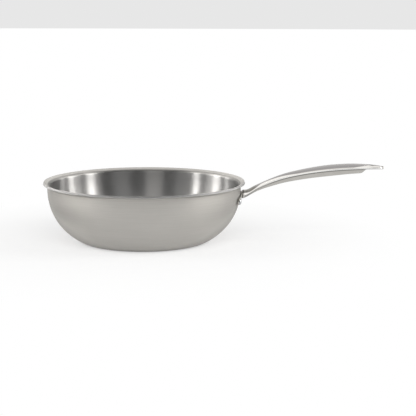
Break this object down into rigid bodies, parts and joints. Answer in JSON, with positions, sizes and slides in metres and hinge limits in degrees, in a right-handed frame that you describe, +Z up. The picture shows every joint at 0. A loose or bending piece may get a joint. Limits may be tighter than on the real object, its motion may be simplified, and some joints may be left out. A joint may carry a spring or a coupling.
{
  "type": "flat-based wok",
  "caption": "Deep flat-based wok with curved sides, flared pouring lip and a long riveted cast handle with a hanging slot.",
  "frame": {"origin": "centre of the flat underside of the base, on the surface that the pan stands on", "axes": "+Z up along the pan's axis, +X from the pan's axis out along the handle, Y across"},
  "size_m": [0.4897, 0.2902, 0.1115],
  "materials": {
    "satin_steel": "satin, fine brushing round the axis",
    "aluminium": "plain, seen only as a thin line in the cut edge of the lip",
    "brushed_steel": "brushed round the axis, more reflective than the outside",
    "polished_steel": "polished cast stainless steel",
    "rivet_steel": "smooth rivet heads"
  },
  "bodies": {
    "root": {"outer_skin": "satin_steel", "aluminium_core": "aluminium", "inner_skin": "brushed_steel", "handle": "polished_steel", "rivet_near": "rivet_steel", "rivet_far": "rivet_steel"}
  },
  "joints": []
}
